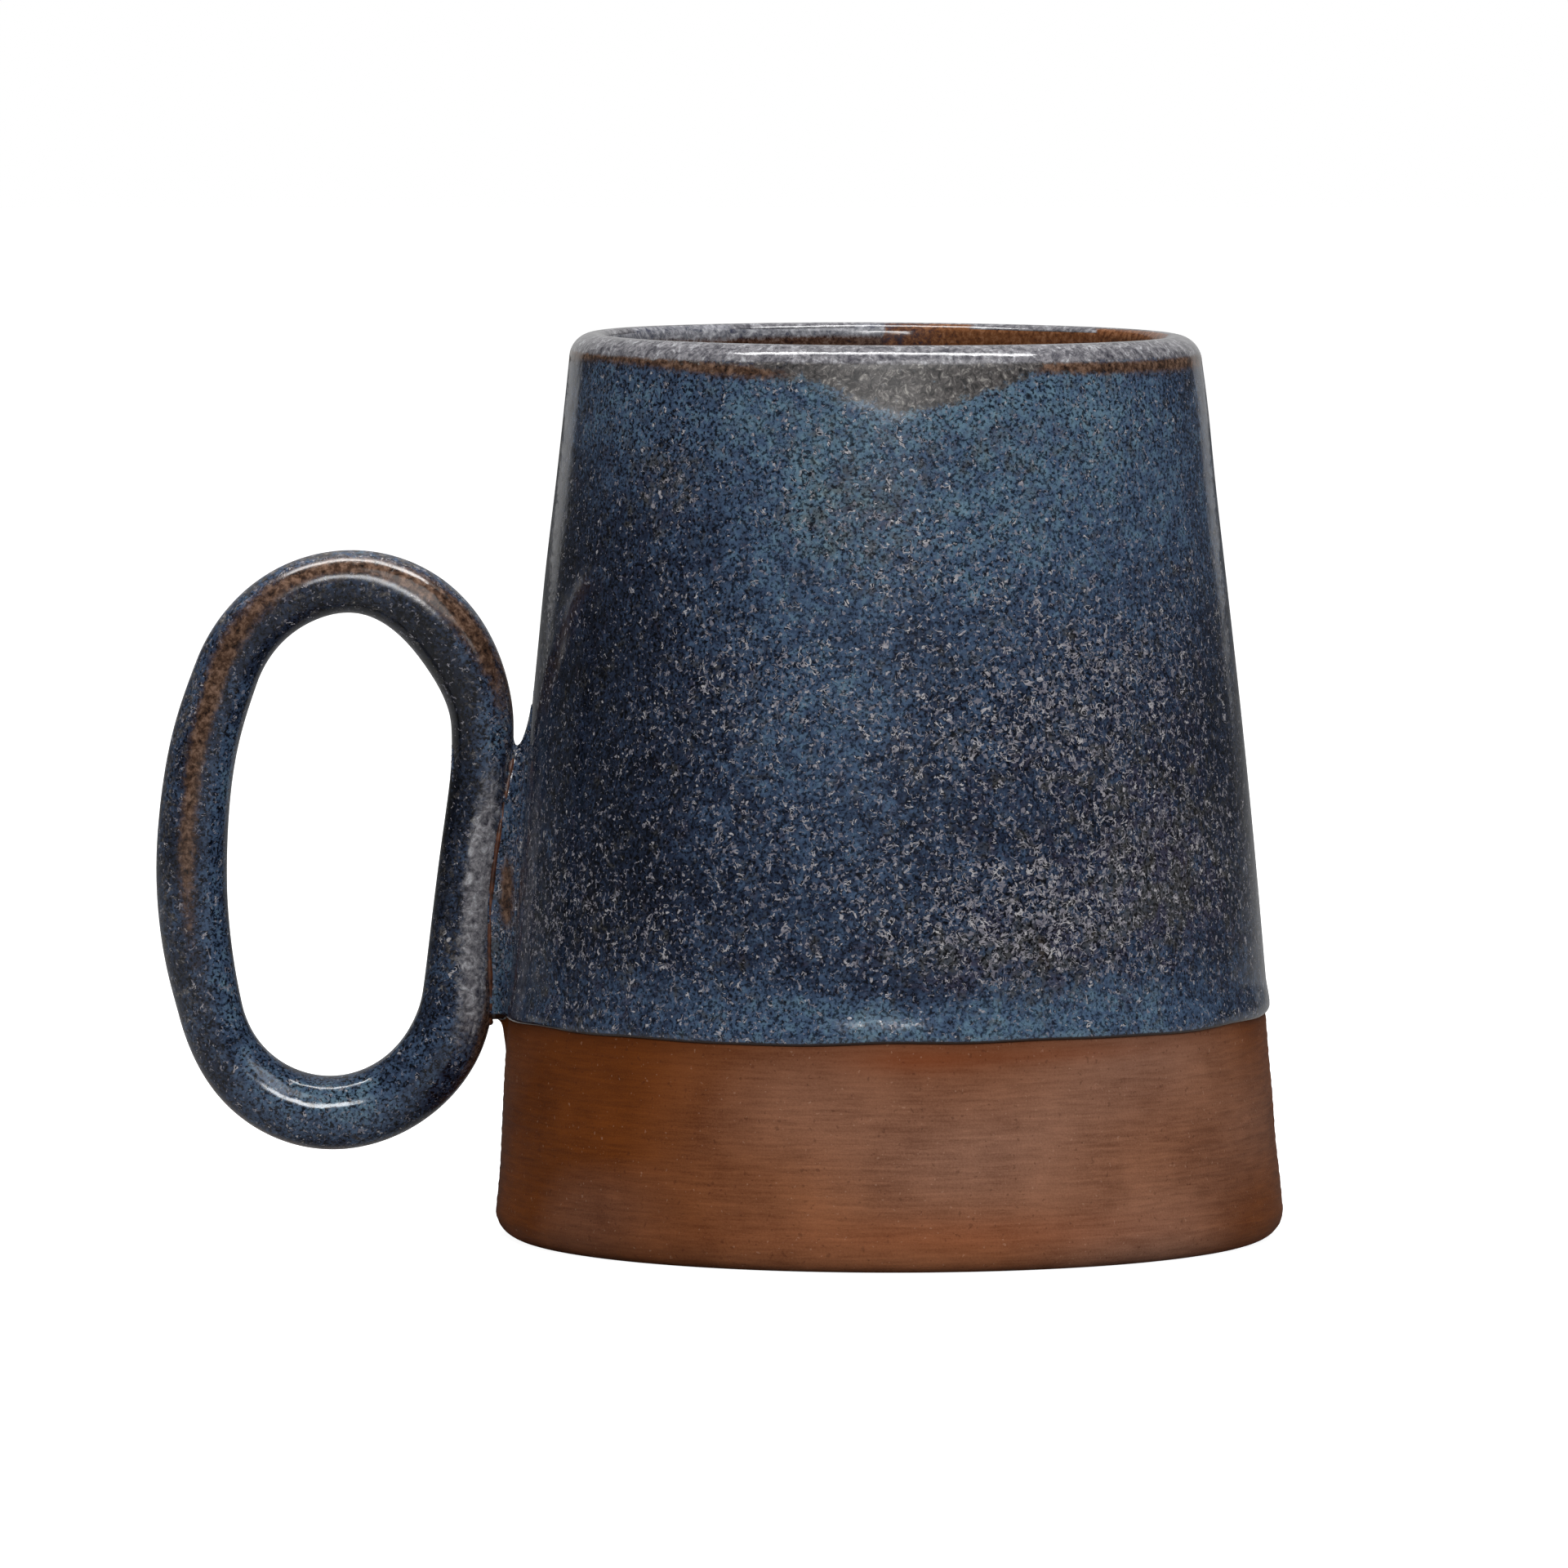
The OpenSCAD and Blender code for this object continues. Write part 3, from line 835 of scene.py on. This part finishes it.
class Nodes:
    """Short calls for building one material."""

    def __init__(self, name):
        self.material = bpy.data.materials.new(name)
        self.material.use_nodes = True
        self.tree = self.material.node_tree
        self.shader = self.tree.nodes["Principled BSDF"]
        place = self.tree.nodes.new("ShaderNodeTexCoord").outputs["Object"]
        self.mm = self.vector("SCALE", place, scale=1 / MM)

    def link(self, value, socket):
        """Feeds a socket from another socket or with a value."""
        if isinstance(value, bpy.types.NodeSocket):
            self.tree.links.new(value, socket)
        elif value is not None:
            socket.default_value = value

    def vector(self, operation, a, b=None, scale=None):
        node = self.tree.nodes.new("ShaderNodeVectorMath")
        node.operation = operation
        self.link(a, node.inputs[0])
        self.link(b, node.inputs[1])
        if scale:
            node.inputs["Scale"].default_value = scale
        return node.outputs[0]

    def math(self, operation, a, b=None, clamp=False):
        node = self.tree.nodes.new("ShaderNodeMath")
        node.operation = operation
        node.use_clamp = clamp
        self.link(a, node.inputs[0])
        self.link(b, node.inputs[1])
        return node.outputs[0]

    def add(self, a, b):
        return self.math("ADD", a, b)

    def minus(self, a, b):
        return self.math("SUBTRACT", a, b)

    def times(self, a, b):
        return self.math("MULTIPLY", a, b)

    def mask(self, name):
        node = self.tree.nodes.new("ShaderNodeAttribute")
        node.attribute_name = name
        return node.outputs["Fac"]

    def noise(self, scale, detail=2.0, rough=0.5, bend=0.0, at=None):
        node = self.tree.nodes.new("ShaderNodeTexNoise")
        self.link(at or self.mm, node.inputs["Vector"])
        node.inputs["Scale"].default_value = scale
        node.inputs["Detail"].default_value = detail
        node.inputs["Roughness"].default_value = rough
        node.inputs["Distortion"].default_value = bend
        return node.outputs["Fac"]

    def step(self, value, low, high):
        """0 below low and 1 above high, smooth between; low and high may be sockets."""
        node = self.tree.nodes.new("ShaderNodeMapRange")
        node.interpolation_type = "SMOOTHSTEP"
        self.link(value, node.inputs["Value"])
        self.link(low, node.inputs["From Min"])
        self.link(high, node.inputs["From Max"])
        return node.outputs[0]

    def ramp(self, value, stops):
        node = self.tree.nodes.new("ShaderNodeValToRGB")
        self.link(value, node.inputs[0])
        elements = node.color_ramp.elements
        while len(elements) < len(stops):
            elements.new(0.5)
        for element, (at, colour) in zip(elements, stops):
            element.position = at
            element.color = linear(colour)
        return node.outputs["Color"]

    def mix(self, factor, a, b, blend="MIX"):
        node = self.tree.nodes.new("ShaderNodeMix")
        node.data_type = "RGBA"
        node.blend_type = blend
        colours = [s for s in node.inputs if s.type == "RGBA"]
        self.link(factor, node.inputs[0])
        self.link(linear(a) if isinstance(a, str) else a, colours[0])
        self.link(linear(b) if isinstance(b, str) else b, colours[1])
        return [s for s in node.outputs if s.type == "RGBA"][0]

    def bump(self, height, depth_mm):
        node = self.tree.nodes.new("ShaderNodeBump")
        node.inputs["Distance"].default_value = depth_mm * MM
        self.link(height, node.inputs["Height"])
        return node.outputs["Normal"]

    def finish(self, colour, roughness, normal):
        self.link(colour, self.shader.inputs["Base Color"])
        self.link(roughness, self.shader.inputs["Roughness"])
        self.link(normal, self.shader.inputs["Normal"])
        return self.material


def band(n, value, middle, half, soft):
    """1 where value is within half of middle, fading to 0 over soft."""
    away = n.math("ABSOLUTE", n.minus(value, middle))
    return n.minus(1.0, n.step(away, half, half + soft))


def pale_flecks(n, colour, pale):
    """Pale curled flecks with a painted shadow along one side, small pale dots between them, and a few
    dark pits.
    """
    curl = n.noise(0.95, 1.6, 0.6, 1.3)
    gate_low = n.minus(0.625, n.times(pale, 0.2))
    gate = n.step(n.noise(1.15, 1.5, 0.5, 0.3), gate_low, n.add(gate_low, 0.05))
    # side is a painted shadow: a dark line beside each pale fleck that makes it look raised.
    side = n.times(band(n, curl, 0.425, 0.025, 0.03), gate)
    fleck = n.times(band(n, curl, 0.5, 0.022, 0.03), gate)
    small_low = n.minus(0.66, n.times(pale, 0.1))
    small = n.step(n.noise(2.0, 1.5, 0.5, 0.7), small_low, n.add(small_low, 0.05))
    pit = n.step(n.noise(1.3, 1.0), 0.68, 0.72)
    # The painted shadows beside the flecks and the dark pits are laid on here.
    colour = n.mix(n.times(n.math("MAXIMUM", side, pit), 0.8), colour, "#0c0e16")
    colour = n.mix(n.times(small, 0.75), colour, "#7c7a83")
    tint = n.ramp(n.noise(0.8, 2), ((0.35, "#6d6b75"), (0.5, "#8f8c92"), (0.65, "#b3b0b2")))
    return n.mix(n.times(fleck, 0.9), colour, tint), fleck


def glaze_ground(n):
    """Blue mottle with warm grey patches, brown stains and dark grain. It returns the grain too."""
    tone, taupe, dark = n.mask("tone"), n.mask("taupe"), n.mask("dark")
    shade = n.add(n.times(n.noise(0.14, 3, 0.6, 0.4), 0.4), n.times(n.noise(0.5, 3, 0.65, 0.5), 0.7))
    shade = n.add(shade, n.times(n.noise(1.4, 3, 0.7), 0.7))
    ground = n.math("ADD", tone, n.minus(shade, 0.9), clamp=True)
    blues = ((0, "#10141f"), (0.3, "#263044"), (0.55, "#435670"), (0.8, "#5f7a8c"), (1, "#7d9096"))
    colour = n.ramp(ground, blues)
    warm = n.step(n.add(n.noise(0.6, 3, 0.7, 0.8), n.times(taupe, 0.3)), 0.52, 0.74)
    warm_tint = n.mix(n.step(n.noise(0.3, 1), 0.42, 0.58), "#423d4c", "#4c4941")
    colour = n.mix(n.times(warm, 0.6), colour, warm_tint)
    drawn = n.vector("MULTIPLY", n.mm, (1, 1, 0.4))
    stain = n.step(n.noise(0.7, 2, 0.5, 0.5, drawn), 0.62, 0.68)
    colour = n.mix(n.times(stain, n.times(taupe, 0.7)), colour, "#33261e")
    greys = ((0.34, "#14171e"), (0.43, "#777b82"), (0.5, "#eeeeee"), (0.62, "#ffffff"))
    grain = n.ramp(n.noise(2.5, 2, 0.6, 0.2), greys)
    grainy = n.mix(1.0, colour, grain, "MULTIPLY")
    return n.mix(n.add(n.times(dark, 0.4), 0.65), colour, grainy), grain


def glaze_breaks(n, colour, grain, vee, lip):
    """The brown bands, the bare patch off the lip, the pale lip and the dark edge, over colour."""
    ragged = n.minus(n.noise(0.9, 4, 0.75, 0.5), 0.5)

    def at(mask, jag, low, high):
        return n.step(n.add(mask, n.times(ragged, jag)), low, high)

    browns = ((0.32, "#1a1311"), (0.48, "#493529"), (0.66, "#7a6050"))
    colour = n.mix(at(n.mask("broke"), 0.9, 0.1, 0.9), colour, n.ramp(n.noise(1.2, 3, 0.7, 0.3), browns))
    stones = ((0.34, "#131214"), (0.46, "#3a3736"), (0.57, "#575352"), (0.7, "#98958f"))
    vee_at = n.times(at(vee, 2.0, 0.4, 0.8), n.step(vee, 0.02, 0.12))
    colour = n.mix(vee_at, colour, n.ramp(n.noise(1.3, 3, 0.75, 0.9), stones))
    pales = ((0.32, "#3c3a42"), (0.45, "#656469"), (0.56, "#868488"), (0.7, "#b6b8bc"))
    lip_tint = n.mix(0.35, n.ramp(n.noise(0.9, 4, 0.75, 0.6), pales), grain, "MULTIPLY")
    colour = n.mix(at(lip, 0.8, 0.25, 0.85), colour, lip_tint)
    return n.mix(at(n.mask("edge"), 0.6, 0.35, 0.8), colour, "#22140e")


def reactive_glaze():
    """Blue reactive glaze: a mottled ground full of dark grain, pale flecks, grey and brown breaks.
    It is duller where it is bare and glossiest on the lip."""
    n = Nodes("reactive_glaze")
    vee, lip = n.mask("vee"), n.mask("lip")
    colour, grain = glaze_ground(n)
    colour, fleck = pale_flecks(n, colour, n.mask("pale"))
    colour = glaze_breaks(n, colour, grain, vee, lip)
    rough = n.add(n.times(n.noise(0.6, 2), 0.1), 0.08)
    rough = n.add(rough, n.times(n.minus(vee, lip), 0.3))
    height = n.add(n.noise(0.35, 2), n.times(fleck, 0.08))
    height = n.add(height, n.times(n.noise(1.4, 2), 0.12))
    return n.finish(colour, rough, n.bump(height, 0.06))


def liner_material():
    """Dark blue liner with grey specks that breaks brown below the lip and pale grey on it."""
    n = Nodes("liner_glaze")
    rim, brown, right, pool = n.mask("rim"), n.mask("brown"), n.mask("right"), n.mask("pool")
    mottle = n.noise(0.3, 3, 0.6, 0.5)
    grain = n.noise(1.6, 3, 0.7, 0.4)
    ragged = n.times(n.minus(grain, 0.5), 0.9)
    colour = n.ramp(n.add(mottle, n.times(pool, 0.2)),
                    ((0.3, "#17171f"), (0.5, "#2d2f3e"), (0.7, "#444a5c")))
    colour = n.mix(n.times(n.step(grain, 0.6, 0.66), 0.7), colour, "#77777f")
    left_brown = n.ramp(grain, ((0.35, "#2a1c1a"), (0.5, "#50382c"), (0.65, "#6e5a50")))
    right_brown = n.ramp(grain, ((0.35, "#4c2e1e"), (0.5, "#6f4529"), (0.65, "#8a6044")))
    brown_tint = n.mix(right, left_brown, right_brown)
    colour = n.mix(n.step(n.add(brown, ragged), 0.3, 0.8), colour, brown_tint)
    pales = ((0.32, "#3f4152"), (0.45, "#6f7076"), (0.58, "#94949a"), (0.7, "#b9bbbe"))
    pale = n.ramp(n.noise(1.1, 4, 0.75, 0.6), pales)
    colour = n.mix(n.step(n.add(rim, ragged), 0.3, 0.8), colour, pale)
    rough = n.add(n.times(mottle, 0.12), 0.08)
    return n.finish(colour, rough, n.bump(n.noise(0.35, 2), 0.06))


def clay_material():
    """Matte fired stoneware: orange flushes, a painted sheen of pinkish grey, turning marks and fine
    grit.
    """
    n = Nodes("stoneware_clay")
    flush, mauve_sheen, glaze_line_dark_and_bounce, rust = n.mask("flush"), n.mask("mauve_sheen"), n.mask("glaze_line_dark_and_bounce"), n.mask("rust")
    streaks = n.noise(1.0, 3, 0.6, 0, n.vector("MULTIPLY", n.mm, (0.2, 0.2, 2.6)))
    cloud = n.noise(0.09, 3, 0.6)
    grit = n.noise(4.5, 2, 0.6)
    colour = n.mix(flush, "#8c5a3d", "#6e3912")
    # Painted sheen: pinkish grey over the clay at the right front.
    colour = n.mix(n.times(mauve_sheen, 0.6), colour, "#8f7163")
    shade = n.add(n.times(streaks, 0.35), n.times(cloud, 0.4))
    shade = n.add(shade, n.times(grit, 0.25))
    tint = n.ramp(shade, ((0.38, "#c4bbb6"), (0.5, "#e6e4e3"), (0.62, "#ffffff")))
    colour = n.mix(1.0, colour, tint, "MULTIPLY")
    colour = n.mix(n.times(rust, 0.55), colour, "#7d3a14")
    # Darker under the glaze line and up the band; the lighter foot left below is painted light from the
    # floor.
    colour = n.mix(n.times(glaze_line_dark_and_bounce, 0.4), colour, "#5c2e12")
    fleck = n.step(n.noise(1.6, 1), 0.68, 0.74)
    colour = n.mix(n.times(fleck, 0.35), colour, "#3a1c10")
    glint = n.step(n.noise(2.1, 1, 0.5, 0, n.vector("ADD", n.mm, (40, 7, 3))), 0.71, 0.76)
    colour = n.mix(n.times(glint, 0.25), colour, "#b38f78")
    height = n.add(n.times(streaks, 0.7), n.times(grit, 0.5))
    rough = n.add(n.times(cloud, 0.2), 0.55)
    n.shader.inputs["Specular IOR Level"].default_value = 0.08
    return n.finish(colour, rough, n.bump(height, 0.07))


def slip_material():
    """Slip squeezed from a joint, stained brown under the glaze."""
    n = Nodes("clay_slip")
    mottle = n.noise(0.9, 3, 0.6)
    colour = n.ramp(mottle, ((0.3, "#24130b"), (0.5, "#4a2716"), (0.7, "#6e4229")))
    rough = n.add(n.times(mottle, 0.2), 0.25)
    return n.finish(colour, rough, n.bump(n.noise(1.8, 2), 0.05))


# ---- pieces on the frame
def fit(piece, material, node):
    """Gives a piece its material and puts it on the mug in its CAD node's place."""
    piece.data.materials.append(material)
    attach(piece, "root")
    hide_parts(node)


glaze = reactive_glaze()
clay = clay_material()
slip = slip_material()
fit(make_clay_cup(), clay, "clay_cup")
fit(make_clay_ring(), clay, "handle_ring")
fit(make_bridge_clay(), clay, "handle_bridge")
fit(make_slip_cup_joint(), slip, "slip_cup_joint")
fit(make_slip_ring_joint(), slip, "slip_ring_joint")
fit(make_outer_glaze(), glaze, "glaze_outer")
fit(make_liner(), liner_material(), "glaze_liner")
fit(make_ring_glaze(), glaze, "glaze_ring")
fit(make_bridge_glaze(), glaze, "glaze_bridge")


# ---- floor, light and camera
def make_floor():
    """A pale floor that keeps only a faint shadow of the cup and looks darker in reflections."""
    size = 4.0
    corners = [(-size, -size, 0), (size, -size, 0), (size, size, 0), (-size, size, 0)]
    mesh = bpy.data.meshes.new("floor")
    mesh.from_pydata(corners, [], [(0, 1, 2, 3)])
    floor = bpy.data.objects.new("floor", mesh)
    bpy.context.scene.collection.objects.link(floor)
    material = bpy.data.materials.new("pale_floor")
    material.use_nodes = True
    nodes, links = material.node_tree.nodes, material.node_tree.links
    shader = nodes["Principled BSDF"]
    shader.inputs["Roughness"].default_value = 0.9
    shader.inputs["Specular IOR Level"].default_value = 0.0
    shader.inputs["Emission Color"].default_value = (1, 1, 1, 1)
    path = nodes.new("ShaderNodeLightPath")
    glow = nodes.new("ShaderNodeMapRange")
    glow.inputs["To Min"].default_value = 0.02
    glow.inputs["To Max"].default_value = 0.95
    links.new(path.outputs["Is Camera Ray"], glow.inputs["Value"])
    links.new(glow.outputs[0], shader.inputs["Emission Strength"])
    shade = nodes.new("ShaderNodeMapRange")
    shade.inputs["To Min"].default_value = 0.48
    shade.inputs["To Max"].default_value = 0.24
    links.new(path.outputs["Is Glossy Ray"], shade.inputs["Value"])
    links.new(shade.outputs[0], shader.inputs["Base Color"])
    mesh.materials.append(material)


def make_world():
    """White to the eye. What reflects is a white wall behind the cup, 30 degrees to either side."""
    world = bpy.data.worlds.new("studio")
    bpy.context.scene.world = world
    world.use_nodes = True
    nodes, links = world.node_tree.nodes, world.node_tree.links
    back = nodes["Background"]
    back.inputs["Color"].default_value = (1, 1, 1, 1)
    split = nodes.new("ShaderNodeSeparateXYZ")
    links.new(nodes.new("ShaderNodeTexCoord").outputs["Generated"], split.inputs[0])
    flat = nodes.new("ShaderNodeCombineXYZ")
    links.new(split.outputs[0], flat.inputs[0])
    links.new(split.outputs[1], flat.inputs[1])
    unit = nodes.new("ShaderNodeVectorMath")
    unit.operation = "NORMALIZE"
    links.new(flat.outputs[0], unit.inputs[0])
    behind = nodes.new("ShaderNodeSeparateXYZ")
    links.new(unit.outputs[0], behind.inputs[0])
    wall = nodes.new("ShaderNodeMapRange")
    wall.interpolation_type = "SMOOTHSTEP"
    wall.inputs["From Min"].default_value = math.cos(math.radians(33))
    wall.inputs["From Max"].default_value = math.cos(math.radians(29))
    wall.inputs["To Min"].default_value = 0.05
    wall.inputs["To Max"].default_value = 0.42
    links.new(behind.outputs[1], wall.inputs["Value"])
    pick = nodes.new("ShaderNodeMix")
    pick.data_type = "FLOAT"
    links.new(nodes.new("ShaderNodeLightPath").outputs["Is Camera Ray"], pick.inputs[0])
    links.new(wall.outputs[0], pick.inputs[2])
    pick.inputs[3].default_value = 1.0
    links.new(pick.outputs[0], back.inputs["Strength"])


def softbox(name, azimuth, elevation, distance, wide, tall, watts):
    """A soft light aimed at the cup. Azimuth 0 is the viewer's side and 90 the right."""
    a, e = math.radians(azimuth), math.radians(elevation)
    light = bpy.data.lights.new(name, "AREA")
    light.shape = "RECTANGLE"
    light.size = wide
    light.size_y = tall
    light.energy = watts
    ob = bpy.data.objects.new(name, light)
    away = np.array([math.sin(a) * math.cos(e), -math.cos(a) * math.cos(e), math.sin(e)])
    ob.location = away * distance + np.array([0, 0, LIGHT_TARGET_Z * MM])
    ob.rotation_euler = (math.pi / 2 - e, 0, a)
    bpy.context.scene.collection.objects.link(ob)
    ob.visible_camera = False


def make_camera():
    """A long lens a little above the rim, looking slightly down on the cup."""
    data = bpy.data.cameras.new("camera")
    data.lens = CAMERA_LENS
    data.sensor_width = 36
    data.clip_end = 20
    camera = bpy.data.objects.new("camera", data)
    camera.location = [value * MM for value in CAMERA_AT]
    camera.rotation_euler = (math.radians(90 - CAMERA_DROP), 0, 0)
    bpy.context.scene.collection.objects.link(camera)
    bpy.context.scene.camera = camera


make_floor()
make_world()
softbox("overhead_strip", 0, 90, 1.5, 1.8, 0.3, 30)
softbox("front_box", -1, 22, 1.6, 0.62, 0.28, 9.5)
softbox("side_key", 28, 42, 1.7, 1.1, 0.9, 7.5)
make_camera()
bpy.context.scene.view_settings.view_transform = "Standard"
